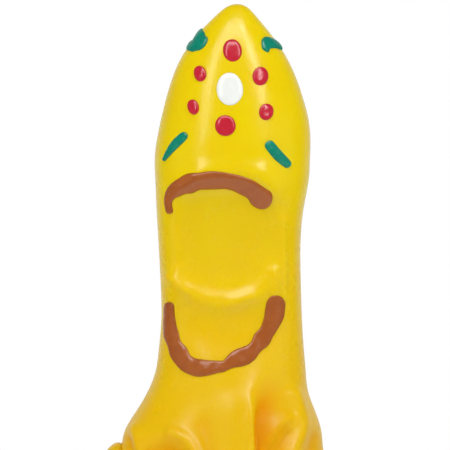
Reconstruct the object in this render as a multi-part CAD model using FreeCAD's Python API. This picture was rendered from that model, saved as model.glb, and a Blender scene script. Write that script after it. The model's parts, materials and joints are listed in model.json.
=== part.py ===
"""A hollow rubber chicken with a painted neck, a squeaker in its back, and neck, wings and legs that flex.

Millimetres. +Z is up, +Y is the way the beak points, +X is the chicken's right-hand side.
The origin is the middle of the neck, where a hand grips it. Heights are given as distances below the crown.
"""
import FreeCAD, Part
import math
import os

V = FreeCAD.Vector

# ---- driving dimensions ----
GRIP = 78.0              # the origin's distance below the crown
WALL = 2.4               # thickness of the rubber
PAINT = 0.6              # thickness of the paint
GAP = 0.4                # clearance between parts that move on each other
RING_POINTS = 16         # points that shape each section of a lofted skin

NECK_PIVOT = 131.0       # distances below the crown
HIP = 288.0
HOCK = 362.0
ANKLE = 440.0
SOLE = 458.0
WING_PIVOT = 143.0
SQUEAKER_DOWN = 236.0

NECK_R = 22.5            # ball at the foot of the neck
HIP_R = 18.0             # ball at the top of each drumstick
HOCK_R = 7.5
ANKLE_R = 6.5
WING_R = 7.0
HIP_X = 21.5             # a leg's distance from the middle plane
WING_X = 35.5

# How far the joints turn about +X, in degrees. Positive swings a hanging limb forward.
NECK_TILT = (-40, 40)    # the neck as the torso sees it
HIP_RANGE = (-35, 60)
HOCK_RANGE = (-60, 45)
ANKLE_RANGE = (-45, 30)

# Sections: distance below the crown, then how far the skin reaches to the chicken's left, right, back
# and front of its axis, and the squareness of the section (2 is an ellipse).
HEAD = [
    (0.6, 0.6, 3.6, 2.4, 2.4, 2.0),
    (2.7, 3.9, 6.3, 4.8, 5.0, 2.0),
    (7.2, 8.7, 10.2, 8.2, 9.0, 2.1),
    (16.8, 15.6, 16.8, 13.4, 16.0, 2.2),
    (28.8, 19.8, 21.6, 17.6, 21.5, 2.3),
    (39.0, 22.0, 23.4, 20.6, 25.0, 2.4),
    (50.0, 23.2, 23.6, 22.2, 25.0, 2.5),
    (60.0, 22.7, 21.8, 19.6, 22.0, 2.6),
    (73.0, 21.9, 20.5, 16.8, 19.0, 2.7),
    (87.0, 21.4, 20.6, 18.6, 18.5, 2.7),
    (98.0, 21.3, 21.1, 18.8, 19.0, 2.6),
    (108.0, 22.2, 21.9, 20.2, 20.5, 2.4),
]
NECK_FOOT = [(119.0, 22.6, 22.4, 21.4, 21.4, 2.1), (127.0, 21.6, 21.6, 21.6, 21.6, 2.0)]
TORSO = [
    (116.0, 25.0, 23.6, 22.0, 23.0, 2.3),
    (124.0, 30.0, 25.8, 26.0, 28.0, 2.2),
    (133.0, 32.8, 27.6, 29.5, 33.0, 2.2),
    (148.0, 36.0, 34.5, 33.5, 40.0, 2.2),
    (170.0, 42.0, 41.5, 37.5, 47.0, 2.1),
    (200.0, 47.5, 47.0, 40.0, 51.0, 2.1),
    (232.0, 48.0, 48.0, 40.5, 49.0, 2.1),
    (262.0, 44.0, 44.0, 38.0, 41.0, 2.1),
    (286.0, 34.0, 34.0, 31.0, 29.0, 2.0),
    (300.0, 22.0, 22.0, 21.0, 16.0, 2.0),
]


def height(below_crown):
    return GRIP - below_crown


def ring(section, grow=0.0):
    """A closed smooth wire round the axis: the section, grown outwards by a distance."""
    below, left, right, back, front, power = section
    points = []
    for i in range(RING_POINTS):
        turn = 2 * math.pi * i / RING_POINTS
        across, along = math.sin(turn), -math.cos(turn)
        reach_x = (right if across > 0 else left) + grow
        reach_y = (front if along > 0 else back) + grow
        x = math.copysign(abs(across) ** (2 / power), across) * reach_x
        y = math.copysign(abs(along) ** (2 / power), along) * reach_y
        points.append(V(x, y, height(below)))
    curve = Part.BSplineCurve()
    curve.interpolate(Points=points, PeriodicFlag=True)
    return Part.Wire([curve.toShape()])


def skin(sections, grow=0.0):
    return Part.makeLoft([ring(s, grow) for s in sections], True, False)


def ball(radius, x, y, below):
    return Part.makeSphere(radius, V(x, y, height(below)))


def blunt_ball(radius, below):
    """A ball on the axis with a small flat underneath."""
    return Part.makeSphere(radius, V(0, 0, height(below)), V(0, 0, 1), -70, 90, 360)


def turned(profile, x, y, below):
    """A solid turned about a vertical axis; profile is (radius, distance below the pivot)."""
    points = [V(r, 0, -d) for r, d in profile]
    face = Part.Face(Part.Wire(Part.makePolygon(points + [points[0]])))
    solid = face.revolve(V(0, 0, 0), V(0, 0, 1), 360)
    solid.translate(V(x, y, height(below)))
    return solid


def room_for_limb(radius, below, swing, up, half_width, reach=150.0):
    """What a round limb fills as it swings about a cross axis: a cylinder on the axis and a wedge.

    up is 1 for a limb that stands up from its pivot and -1 for one that hangs. swing is (least, most) in
    degrees about +X.
    """
    pivot = V(-half_width, 0, height(below))
    hub = Part.makeCylinder(radius, 2 * half_width, pivot, V(1, 0, 0))
    sides = []
    for degrees, outward in zip(swing, (up, -up)):
        a = math.radians(degrees)
        along = V(0, -math.sin(a), math.cos(a)) * up
        across = V(0, math.cos(a), math.sin(a)) * outward
        sides.append((across * radius, across * radius + along * reach, along * reach))
    (near_a, far_a, along_a), (near_b, far_b, along_b) = sides
    corners = [V(0, 0, 0), near_a, far_a, along_a + along_b, far_b, near_b, V(0, 0, 0)]
    wedge = Part.Face(Part.makePolygon([pivot + c for c in corners])).extrude(V(2 * half_width, 0, 0))
    return hub.fuse(wedge)


def outline(points):
    """A flat face in the XZ plane inside a smooth closed curve; points are (x, distance below the crown)."""
    curve = Part.BSplineCurve()
    curve.interpolate(Points=[V(x, 0, height(d)) for x, d in points], PeriodicFlag=True)
    return Part.Face(Part.Wire([curve.toShape()]))


def oval(x, below, half_width, half_height, lean=0.0):
    a = math.radians(lean)
    points = []
    for i in range(8):
        t = 2 * math.pi * i / 8
        u, w = half_width * math.cos(t), half_height * math.sin(t)
        points.append((x + u * math.cos(a) - w * math.sin(a), below + u * math.sin(a) + w * math.cos(a)))
    return outline(points)


def stroke(path):
    """A brush stroke's face. path is (x, distance below the crown, half width) along its middle line."""
    near, far = [], []
    last = len(path) - 1
    for i, (x, d, half) in enumerate(path):
        x0, d0 = path[max(i - 1, 0)][:2]
        x1, d1 = path[min(i + 1, last)][:2]
        length = math.hypot(x1 - x0, d1 - d0)
        tx, td = (x1 - x0) / length, (d1 - d0) / length
        near.append((x - td * half, d + tx * half))
        far.append((x + td * half, d - tx * half))
        if i == 0:
            start = (x - tx * half, d - td * half)
        if i == last:
            end = (x + tx * half, d + td * half)
    return outline([start] + near + [end] + far[::-1])


# ---- paint marks on the back of the head and neck: (x, distance below the crown, ...) ----
PETALS = [
    (0.0, 14.6, 2.9, 3.4, 8),
    (-9.6, 21.6, 1.9, 2.5, 15),
    (8.6, 22.3, 2.4, 2.9, -8),
    (-11.7, 31.4, 1.8, 2.3, 15),
    (10.2, 32.9, 2.2, 2.6, -12),
    (-2.1, 36.9, 3.2, 3.1, 0),
]
CENTRE = (-1.0, 26.1, 4.0, 4.9, 4)
LEAVES = [
    [(-14.4, 41.0, 1.3), (-16.6, 43.6, 1.2), (-19.0, 47.4, 0.6)],
    [(11.2, 43.4, 1.6), (13.6, 46.0, 1.6), (16.4, 49.0, 1.3)],
]
SIDE_LEAVES = [
    (-1, [(-1.4, 9.6, 1.6), (0.0, 12.0, 1.9), (2.2, 13.2, 1.5)]),
    (1, [(-2.6, 13.2, 1.5), (0.0, 12.2, 1.6), (2.6, 12.8, 1.2)]),
]
SIDE_LEAF_TURN = 58.0    # how far round from the middle of the back, in degrees
UPPER_BAND = [
    (-18.0, 60.6, 1.4), (-16.4, 56.8, 2.2), (-11.0, 54.4, 2.4), (-3.5, 53.4, 2.5),
    (4.0, 54.4, 2.6), (8.8, 57.2, 2.9), (10.6, 59.0, 2.8),
]
LOWER_BAND = [
    (-18.4, 91.0, 1.3), (-18.0, 97.0, 2.0), (-15.2, 103.0, 2.4), (-9.6, 107.2, 2.6), (-2.0, 107.2, 2.2),
    (5.0, 104.6, 2.5), (10.8, 99.4, 2.4), (13.6, 92.4, 2.6),
]


def paint(face, head, head_grown, turn=0.0):
    """The layer of paint on the skin behind an outline, which is swept out through the skin."""
    column = face.extrude(V(0, -60, 0))
    column.rotate(V(0, 0, 0), V(0, 0, 1), turn)
    return column.common(head_grown).cut(head)


def group(solids):
    return Part.makeCompound([s for shape in solids for s in shape.Solids])


def head_and_paint(parts):
    head = skin(HEAD + NECK_FOOT)
    painted = skin(HEAD + NECK_FOOT, PAINT)
    parts["flower_centre"] = paint(oval(*CENTRE), head, painted)
    parts["flower_petals"] = group([paint(oval(*p), head, painted) for p in PETALS])
    leaves = [paint(stroke(path), head, painted) for path in LEAVES]
    leaves += [paint(stroke(path), head, painted, side * SIDE_LEAF_TURN) for side, path in SIDE_LEAVES]
    parts["flower_leaves"] = group(leaves)
    parts["upper_neck_band"] = paint(stroke(UPPER_BAND), head, painted)
    parts["lower_neck_band"] = paint(stroke(LOWER_BAND), head, painted)

    solid = head.fuse(blunt_ball(NECK_R, NECK_PIVOT))
    hollow = skin(HEAD[3:] + NECK_FOOT, -WALL).fuse(blunt_ball(NECK_R - WALL, NECK_PIVOT))
    parts["head_and_neck_skin"] = solid.cut(hollow)
    face_parts(parts, head)


# ---- the face: comb, beak, wattles and eyes, on the front of the head ----
COMB_THICK = 5.0
COMB_POINTS = [(12, 10), (22, 12), (29, 17.5), (34, 23), (37, 30), (31, 37), (18, 34), (6, 16)]
BEAK_HALF = 9.0
BEAK_BASE = 25.0         # where the beak leaves the face, forward of the axis
BEAK_DOWN = 50.0
BEAK_HALVES = [          # name, how far the flat side is below the parting, rise of the curved side, length
    ("upper_beak", -0.1, 6.4, 23.0),
    ("lower_beak", 0.3, -4.6, 19.0),
]
BEAK_TAPER = [(0.0, 0.9), (0.6, 0.5), (1.0, 0.1)]     # (share of the length, share of the size)
BEAK_ROOT = 9.0          # how far each half starts behind the face, before the head is cut from it
WATTLE_HALF = (4.2, 5.0, 12.0)
WATTLE_AT = (5.2, 23.0, 68.0)    # x, y and distance below the crown
EYE_TURN = 36.0          # how far round from the middle of the face, in degrees
EYE_LIFT = 0.18          # upward slope of the eye's axis
EYE_DOWN = 38.0
EYE_R = 6.2
EYE_ROOT = 10.0          # distances from the head's axis
EYE_FACE = 27.2
PUPIL_R = 2.9
PUPIL_THICK = 0.8


def beak_section(forward, share, lift, rise):
    """A flat line with an arc over or under it, forward of the face."""
    y = BEAK_BASE + forward
    z = height(BEAK_DOWN) - lift
    half = BEAK_HALF * share
    start, middle, end = V(half, y, z), V(0, y, z + rise * share), V(-half, y, z)
    return Part.Wire([Part.makeLine(end, start), Part.Arc(start, middle, end).toShape()])


def face_parts(parts, head):
    profile = Part.BSplineCurve()
    profile.interpolate(Points=[V(-COMB_THICK / 2, y, height(d)) for y, d in COMB_POINTS], PeriodicFlag=True)
    comb = Part.Face(Part.Wire([profile.toShape()])).extrude(V(COMB_THICK, 0, 0))
    parts["comb"] = comb.cut(head)

    for name, lift, rise, length in BEAK_HALVES:
        wires = [beak_section(-BEAK_ROOT, 1.0, lift, rise)]
        for along, share in BEAK_TAPER:
            wires.append(beak_section(length * along, share, lift, rise))
        parts[name] = Part.makeLoft(wires, True, True).cut(head)

    for side, word in ((-1, "left"), (1, "right")):
        drop = Part.makeSphere(1.0)
        stretch = FreeCAD.Matrix()
        stretch.scale(*WATTLE_HALF)
        drop = drop.transformGeometry(stretch)
        x, y, below = WATTLE_AT
        drop.translate(V(side * x, y, height(below)))
        parts[word + "_wattle"] = drop.cut(head)

        turn = math.radians(EYE_TURN)
        out = V(side * math.sin(turn), math.cos(turn), EYE_LIFT)
        middle = V(0, 0, height(EYE_DOWN))
        out.normalize()
        eye = Part.makeCylinder(EYE_R, EYE_FACE - EYE_ROOT, middle + out * EYE_ROOT, out)
        parts[word + "_eye"] = eye.cut(head)
        parts[word + "_pupil"] = Part.makeCylinder(PUPIL_R, PUPIL_THICK, middle + out * EYE_FACE, out)


# ---- torso, tail and squeaker ----
BODY_HALF = 70.0         # wider than the torso, so that a limb's room runs right across it
NECK_ROOM = 60.0         # how far up from its pivot the neck's room reaches
TAIL_R = (10.0, 4.5)
TAIL_LENGTH = 30.0
TAIL_AT = (-22.0, 266.0) # y and distance below the crown
TAIL_WAY = V(0, -0.87, -0.49)

SQ_R = 10.0              # squeaker barrel
SQ_WALL = 1.4
SQ_CAP = 1.5             # thickness of the barrel's closed end
SQ_LENGTH = 18.0
SQ_FLANGE_R = 12.5
SQ_FLANGE = 1.2
SQ_FACE = 40.6           # how far behind the axis the flange is seated
SEAT_R = 14.0            # thick rubber round the barrel
SEAT_DEPTH = 9.0
POCKET_R = 15.5          # hollow in the back that the flange sits in
VENT_R = 2.0
BLOCK = 3.0              # thickness of the reed block's plate
TROUGH_R = 3.2
TROUGH_LENGTH = 10.0
TROUGH_TIP = 1.0         # closed end of the trough
CHANNEL_R = 1.9          # air channel through the block
CLAMP = (6.0, 2.5, 2.6)  # width, length and height
REED = (5.0, 7.3, 0.4)
REED_LIFT = 0.35         # gap between the reed and its block
REED_GAP = 0.2           # gap between the reed and its clamp


def rod_y(radius, start, end, z):
    return Part.makeCylinder(radius, end - start, V(0, start, z), V(0, 1, 0))


def squeaker(parts):
    z = height(SQUEAKER_DOWN)
    face = -SQ_FACE
    end = face + SQ_LENGTH
    bore_r = SQ_R - SQ_WALL
    barrel = rod_y(SQ_R, face, end, z).fuse(rod_y(SQ_FLANGE_R, face - SQ_FLANGE, face, z))
    barrel = barrel.cut(rod_y(bore_r, face + SQ_CAP, end, z))
    barrel = barrel.cut(rod_y(VENT_R, face - SQ_FLANGE - 1, face + SQ_CAP + 1, z))
    parts["squeaker_barrel"] = barrel.removeSplitter()

    plate_face = end - BLOCK
    trough_start = plate_face - TROUGH_LENGTH
    plate = rod_y(bore_r, plate_face, end, z)
    corner = V(-2 * TROUGH_R, trough_start - 1, z)
    upper_half = Part.makeBox(4 * TROUGH_R, TROUGH_LENGTH + 2, 2 * TROUGH_R, corner)
    trough = rod_y(TROUGH_R, trough_start, plate_face, z).cut(upper_half)
    channel = rod_y(CHANNEL_R, trough_start + TROUGH_TIP, end + 1, z)
    parts["squeaker_reed_block"] = plate.fuse(trough).cut(channel).removeSplitter()

    width, length, thick = CLAMP
    root = plate_face - length
    parts["squeaker_reed_clamp"] = Part.makeBox(width, length, thick, V(-width / 2, root, z))
    width, length, thick = REED
    corner = V(-width / 2, root - REED_GAP - length, z + REED_LIFT)
    parts["squeaker_reed"] = Part.makeBox(width, length, thick, corner)


def tail(body, leg_sweep):
    y, below = TAIL_AT
    cone = Part.makeCone(TAIL_R[0], TAIL_R[1], TAIL_LENGTH, V(0, y, height(below)), TAIL_WAY)
    tip = min(cone.Edges, key=lambda edge: edge.BoundBox.ZMin + edge.BoundBox.ZMax)
    stub = cone.makeFillet(TAIL_R[1] - 1, [tip]).cut(body).cut(leg_sweep)
    return max(stub.Solids, key=lambda solid: solid.Volume)


def torso_skin(parts):
    neck_sweep = room_for_limb(NECK_R + GAP, NECK_PIVOT, NECK_TILT, 1, NECK_R + GAP, NECK_ROOM)
    leg_sweep = room_for_limb(HIP_R + GAP, HIP, HIP_RANGE, -1, BODY_HALF)
    neck_wall = room_for_limb(NECK_R + GAP + WALL, NECK_PIVOT, NECK_TILT, 1, BODY_HALF, NECK_ROOM)
    leg_wall = room_for_limb(HIP_R + GAP + WALL, HIP, HIP_RANGE, -1, BODY_HALF)

    z = height(SQUEAKER_DOWN)
    seat = rod_y(SEAT_R, -SQ_FACE, -SQ_FACE + SEAT_DEPTH, z)
    body = skin(TORSO)
    parts["tail"] = tail(body, leg_sweep)
    inside = skin(TORSO[3:], -WALL).cut(neck_wall).cut(leg_wall).cut(seat)
    body = body.fuse(seat).cut(rod_y(POCKET_R, -SQ_FACE - 20, -SQ_FACE, z))
    body = body.cut(neck_sweep).cut(leg_sweep).cut(inside)
    body = body.cut(rod_y(SQ_R, -SQ_FACE - 1, -SQ_FACE + SEAT_DEPTH + 1, z))
    for side in (-1, 1):
        centre = V(side * WING_X, 0, height(WING_PIVOT))
        body = body.cut(Part.makeSphere(WING_R + GAP, centre, V(1, 0, 0)))
    parts["torso_skin"] = max(body.Solids, key=lambda solid: solid.Volume)


# ---- wings ----
WING_STATIONS = [        # distance below the crown, middle x, half thickness, half width, middle y
    (141.0, 37.5, 2.0, 4.0, 0.0),
    (147.0, 42.5, 6.5, 11.0, 0.0),
    (168.0, 49.5, 7.0, 15.0, -2.0),
    (190.0, 54.0, 5.5, 14.0, -5.0),
    (210.0, 56.5, 3.2, 8.0, -9.0),
    (218.0, 57.0, 1.2, 3.0, -11.0),
]


def wings(parts):
    near = skin(TORSO, GAP)
    for side, word in ((-1, "left"), (1, "right")):
        wires = []
        for below, x, thick, width, y in WING_STATIONS:
            wire = ring((below, thick, thick, width, width, 2.0))
            wire.translate(V(side * x, y, 0))
            wires.append(wire)
        blade = Part.makeLoft(wires, True, False).cut(near)
        blade = max(blade.Solids, key=lambda s: s.Volume)
        parts[word + "_wing"] = blade.fuse(ball(WING_R, side * WING_X, 0, WING_PIVOT))


# ---- legs ----
# The limbs' outlines are (radius, distance below the joint).
DRUMSTICK = [(HIP_R, 0), (17.0, 18.0), (13.5, 40.0), (9.5, 60.0), (HOCK_R + 0.6, HOCK - HIP)]
DRUMSTICK_ROOM = [(HIP_R - 4.0, 4.0), (13.5, 18.0), (10.5, 40.0)]
SHANK = [(HOCK_R, 0), (6.6, 14.0), (6.0, 40.0), (ANKLE_R + 0.3, ANKLE - HOCK)]
HEEL = [(ANKLE_R, 0), (8.0, SOLE - ANKLE)]
FOOT_ROOM = 40.0         # how far from the ankle the foot's room reaches
TOE_LENGTH = 40.0
SIDE_TOE_LENGTH = 37.0
TOE_SPREAD = 25.0
TOE_OUT = 8.0            # each foot turns outwards by this much
TOE_R = (6.0, 4.2)
TOE_SUNK = 1.0           # how far the flat sole cuts into the round toes
SPUR_LENGTH = 18.0
CLAW_LENGTH = 9.0
CLAW_R = (3.2, 0.5)
GROUND = 200.0           # size of the slab cut away below the soles


def taper(radii, length, start, turn):
    solid = Part.makeCone(radii[0], radii[1], length, V(0, 0, 0), V(0, 1, 0))
    solid.rotate(V(0, 0, 0), V(0, 0, 1), -turn)
    solid.translate(start)
    return solid


def post(profile, x, below):
    """A limb turned about its own axis, from the joint down."""
    return turned([(0, profile[0][1])] + profile + [(0, profile[-1][1])], x, 0, below)


def foot(parts, word, x):
    ground = Part.makeBox(GROUND, GROUND, GROUND, V(x - GROUND / 2, -GROUND / 2, height(SOLE) - GROUND))
    middle = V(x, 0, height(SOLE) + TOE_R[0] - TOE_SUNK)
    body = ball(ANKLE_R, x, 0, ANKLE).fuse(post(HEEL, x, ANKLE))
    claws = []
    toes = ((-TOE_SPREAD, SIDE_TOE_LENGTH), (0, TOE_LENGTH), (TOE_SPREAD, SIDE_TOE_LENGTH), (180, SPUR_LENGTH))
    for spread, length in toes:
        turn = spread + math.copysign(TOE_OUT, x)
        body = body.fuse(taper(TOE_R, length, middle, turn))
        a = math.radians(turn)
        end = middle + V(math.sin(a), math.cos(a), 0) * length
        claws.append(taper(CLAW_R, CLAW_LENGTH, end, turn).cut(ground))
    parts[word + "_foot"] = body.cut(ground).removeSplitter()
    parts[word + "_claws"] = group(claws)


def legs(parts):
    for side, word in ((-1, "left"), (1, "right")):
        x = side * HIP_X
        drumstick = ball(HIP_R, x, 0, HIP).fuse(post(DRUMSTICK, x, HIP))
        room = turned([(0, 4.0)] + DRUMSTICK_ROOM + [(0, 44.0)], x, 0, HIP)
        hock_sweep = room_for_limb(HOCK_R + GAP, HOCK, HOCK_RANGE, -1, BODY_HALF)
        parts[word + "_drumstick"] = drumstick.cut(room).cut(hock_sweep).removeSplitter()

        shank = ball(HOCK_R, x, 0, HOCK).fuse(post(SHANK, x, HOCK))
        ankle_sweep = room_for_limb(ANKLE_R + GAP, ANKLE, ANKLE_RANGE, -1, BODY_HALF, FOOT_ROOM)
        parts[word + "_shank"] = shank.cut(ankle_sweep).removeSplitter()
        foot(parts, word, x)


def main():
    parts = {}
    head_and_paint(parts)
    torso_skin(parts)
    squeaker(parts)
    wings(parts)
    legs(parts)
    os.makedirs("parts", exist_ok=True)
    for name, shape in parts.items():
        if not shape.Solids or not shape.isValid():
            print("check", name, "solids", len(shape.Solids), "valid", shape.isValid())
        shape.exportStep(os.path.join("parts", name + ".step"))
    print(len(parts), "nodes written")


main()
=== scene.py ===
"""The looks of the rubber chicken: latex skin, raised paint, face, squeaker, wings and legs.

Shapes are worked out in millimetres, with heights given as distances below the crown. They are turned into
metres when a mesh is made. The tables give the skin's outline, its folds and the brush strokes.
"""

import json
import math

import bpy
import numpy as np
from mathutils import Matrix, Vector
from mathutils.bvhtree import BVHTree
from mathutils.interpolate import poly_3d_calc


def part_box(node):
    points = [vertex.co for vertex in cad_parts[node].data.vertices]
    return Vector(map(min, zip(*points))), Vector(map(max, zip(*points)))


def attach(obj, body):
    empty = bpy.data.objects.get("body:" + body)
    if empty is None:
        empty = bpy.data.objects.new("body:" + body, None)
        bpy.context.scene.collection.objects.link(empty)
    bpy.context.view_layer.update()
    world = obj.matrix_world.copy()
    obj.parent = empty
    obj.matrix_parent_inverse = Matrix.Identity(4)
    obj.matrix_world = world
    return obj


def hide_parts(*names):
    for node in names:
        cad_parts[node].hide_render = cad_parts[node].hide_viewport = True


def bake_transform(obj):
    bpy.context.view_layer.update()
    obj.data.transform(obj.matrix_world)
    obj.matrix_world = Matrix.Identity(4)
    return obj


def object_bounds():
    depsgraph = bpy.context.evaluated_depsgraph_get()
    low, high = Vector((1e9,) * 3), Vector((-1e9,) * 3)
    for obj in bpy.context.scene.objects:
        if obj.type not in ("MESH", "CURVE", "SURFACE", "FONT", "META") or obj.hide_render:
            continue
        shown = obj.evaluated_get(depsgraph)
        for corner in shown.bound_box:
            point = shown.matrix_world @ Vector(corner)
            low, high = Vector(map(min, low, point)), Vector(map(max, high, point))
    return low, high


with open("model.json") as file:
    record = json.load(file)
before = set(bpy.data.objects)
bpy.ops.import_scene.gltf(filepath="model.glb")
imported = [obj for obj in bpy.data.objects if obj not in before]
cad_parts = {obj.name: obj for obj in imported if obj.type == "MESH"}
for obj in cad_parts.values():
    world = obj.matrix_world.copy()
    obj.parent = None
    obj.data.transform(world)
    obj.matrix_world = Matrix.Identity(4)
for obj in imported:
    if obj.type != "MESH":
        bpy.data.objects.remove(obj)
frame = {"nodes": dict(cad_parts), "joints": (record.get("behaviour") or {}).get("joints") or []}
cad_low, cad_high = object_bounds()

MM = 0.001
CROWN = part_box("head_and_neck_skin")[1].z
SOLE = (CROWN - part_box("left_foot")[0].z) / MM
PIVOT = {joint["name"]: Vector(joint["pos_m"]) for joint in frame["joints"]}


def down(point):
    """How far below the crown a point of the frame is, in millimetres."""
    return (CROWN - point.z) / MM


NECK = down(PIVOT["neck_bend"])
HIP = down(PIVOT["left_hip_bend"])
HOCK = down(PIVOT["left_hock_bend"])
ANKLE = down(PIVOT["left_ankle_bend"])
HIP_X = PIVOT["right_hip_bend"].x / MM
SQUEAKER = (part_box("squeaker_barrel")[0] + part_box("squeaker_barrel")[1]) / 2
FLANGE_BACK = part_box("squeaker_barrel")[0].y / MM
SIDES = ((-1, "left"), (1, "right"))


# ---- curves and meshes ----

def spline(knots, rows, at):
    """Rows of numbers carried from knot to knot with continuous curvature, read at the places in at."""
    x = np.asarray(knots, float)
    y = np.asarray(rows, float)
    h = np.diff(x)
    count = len(x)
    system = np.eye(count)
    pull = np.zeros_like(y)
    for i in range(1, count - 1):
        system[i, i - 1:i + 2] = h[i - 1], 2 * (h[i - 1] + h[i]), h[i]
        pull[i] = 6 * ((y[i + 1] - y[i]) / h[i] - (y[i] - y[i - 1]) / h[i - 1])
    bend = np.linalg.solve(system, pull)
    i = np.clip(np.searchsorted(x, at, side="right") - 1, 0, count - 2)
    a = (x[i + 1] - at)[:, None]
    b = (at - x[i])[:, None]
    w = h[i][:, None]
    curved = (bend[i] * a ** 3 + bend[i + 1] * b ** 3) / (6 * w)
    return curved + (y[i] / w - bend[i] * w / 6) * a + (y[i + 1] / w - bend[i + 1] * w / 6) * b


def chord_lengths(points):
    """The distance along a broken line to each of its points."""
    return np.concatenate([[0], np.cumsum(np.linalg.norm(np.diff(points, axis=0), axis=1))])


def smoothstep(low, high, value):
    t = np.clip((value - low) / (high - low), 0, 1)
    return t * t * (3 - 2 * t)


def wobble(*coordinates, seed=0.0):
    """A smooth, repeatable unevenness between about -1 and 1: three sine waves of no common length."""
    total = 0
    for k in range(1, 4):
        phase = seed + 2.1 * k
        rate = 0.9 + 0.53 * k
        term = 1.0
        for j, value in enumerate(coordinates):
            term = term * np.sin(value * rate + phase * (j + 1.3))
        total = total + term / k
    return total / 1.4


def grid_normals(rows):
    """Outward unit normals of a grid of points whose columns go round."""
    around = np.roll(rows, -1, axis=1) - np.roll(rows, 1, axis=1)
    along = np.gradient(rows, axis=0)
    normal = np.cross(around, along)
    length = np.linalg.norm(normal, axis=2, keepdims=True)
    return normal / np.maximum(length, 1e-9)


def link(made):
    """Puts an object in the scene."""
    bpy.context.scene.collection.objects.link(made)
    return made


def new_piece(name, points, faces):
    """A smooth mesh whose faces look outwards."""
    mesh = bpy.data.meshes.new(name)
    mesh.from_pydata(points, [], faces)
    mesh.polygons.foreach_set("use_smooth", [True] * len(faces))
    mesh.update()
    mesh.calc_loop_triangles()
    volume = 0.0
    for t in mesh.loop_triangles:
        a, b, c = (mesh.vertices[v].co for v in t.vertices)
        volume += a.dot(b.cross(c))
    if volume < 0:
        mesh.flip_normals()
    return link(bpy.data.objects.new(name, mesh))


def shell(name, rows, attributes=None):
    """A closed mesh from rows of rings of points (x, y, below). The first and last rows shrink to a point."""
    count, turns = rows.shape[:2]
    inner = rows[1:-1].reshape(-1, 3)
    points = np.vstack([rows[:1].mean(1), inner, rows[-1:].mean(1)]) * (MM, MM, -MM) + (0, 0, CROWN)
    i, j = np.meshgrid(np.arange(count - 3), np.arange(turns), indexing="ij")
    k = (j + 1) % turns
    here = 1 + i * turns
    after = here + turns
    quads = np.stack([here + j, after + j, after + k, here + k], -1)
    faces = quads.reshape(-1, 4).tolist()
    last = 1 + (count - 3) * turns
    end = len(points) - 1
    for j in range(turns):
        k = (j + 1) % turns
        faces.append((0, 1 + j, 1 + k))
        faces.append((end, last + k, last + j))
    made = new_piece(name, points.tolist(), faces)
    for key, values in (attributes or {}).items():
        flat = np.concatenate([values[:1, 0], values[1:-1].ravel(), values[-1:, 0]])
        made.data.attributes.new(key, "FLOAT", "POINT").data.foreach_set("value", flat.astype(np.float32))
    return made


def square_to(out):
    """A unit axis and two unit vectors square to it."""
    axis = Vector(out).normalized()
    first = axis.orthogonal().normalized()
    return axis, first, axis.cross(first)


def torus(name, centre, out, radius, tube, flat=1.0, turns=96, around=20):
    """A closed ring of round section about an axis; flat squashes the section along the axis."""
    axis, first, second = square_to(out)
    points = []
    for i in range(turns):
        a = 2 * math.pi * i / turns
        spoke = first * math.cos(a) + second * math.sin(a)
        for j in range(around):
            b = 2 * math.pi * j / around
            outwards = spoke * (radius + tube * math.cos(b)) * MM
            points.append(centre + outwards + axis * tube * flat * math.sin(b) * MM)
    faces = []
    for i in range(turns):
        for j in range(around):
            k, m = (i + 1) % turns, (j + 1) % around
            faces.append((i * around + j, k * around + j, k * around + m, i * around + m))
    return new_piece(name, points, faces)


def lens(name, centre, out, radius, rise, sink=1.0, steps=24, turns=48):
    """A closed dome on a surface: rise above its centre, sink below it."""
    axis, first, second = square_to(out)
    rows = np.zeros((steps, turns, 3))
    for i in range(steps):
        a = math.pi * i / (steps - 1)
        height = (rise if math.cos(a) > 0 else sink) * math.cos(a)
        for j in range(turns):
            b = 2 * math.pi * j / turns
            spoke = first * math.cos(b) + second * math.sin(b)
            spot = centre + (spoke * radius * math.sin(a) + axis * height) * MM
            rows[i, j] = spot.x / MM, spot.y / MM, down(spot)
    return shell(name, rows)


def join(name, pieces):
    """Several meshes as one piece."""
    first = pieces[0]
    if len(pieces) > 1:
        with bpy.context.temp_override(active_object=first, selected_editable_objects=pieces):
            bpy.ops.object.join()
    first.name = name
    first.data.name = name
    return first


def bake(piece):
    """Applies a piece's modifiers."""
    graph = bpy.context.evaluated_depsgraph_get()
    mesh = bpy.data.meshes.new_from_object(piece.evaluated_get(graph))
    piece.modifiers.clear()
    piece.data = mesh
    mesh.polygons.foreach_set("use_smooth", [True] * len(mesh.polygons))


def melt(piece, voxel, passes):
    """Runs overlapping shells into one smooth skin."""
    remesh = piece.modifiers.new("melt", "REMESH")
    remesh.mode = "VOXEL"
    remesh.voxel_size = voxel * MM
    smooth = piece.modifiers.new("soften", "SMOOTH")
    smooth.factor = 0.5
    smooth.iterations = passes
    bake(piece)


def remember_rest(piece):
    """Keeps each point's place at rest, so that textures stay on the rubber as it bends."""
    mesh = piece.data
    places = np.zeros(len(mesh.vertices) * 3, np.float32)
    mesh.vertices.foreach_get("co", places)
    mesh.attributes.new("rest", "FLOAT_VECTOR", "POINT").data.foreach_set("vector", places)


def superellipse(turn, wide, back, front, power):
    """Reach in x and y of a rounded-square section at each turn from the middle of the back."""
    sine = np.sin(turn)
    cosine = np.cos(turn)
    deep = np.where(cosine > 0, back, front)
    reach = (np.abs(sine / wide) ** power + np.abs(cosine / deep) ** power) ** (-1 / power)
    return reach * sine, -reach * cosine


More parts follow.
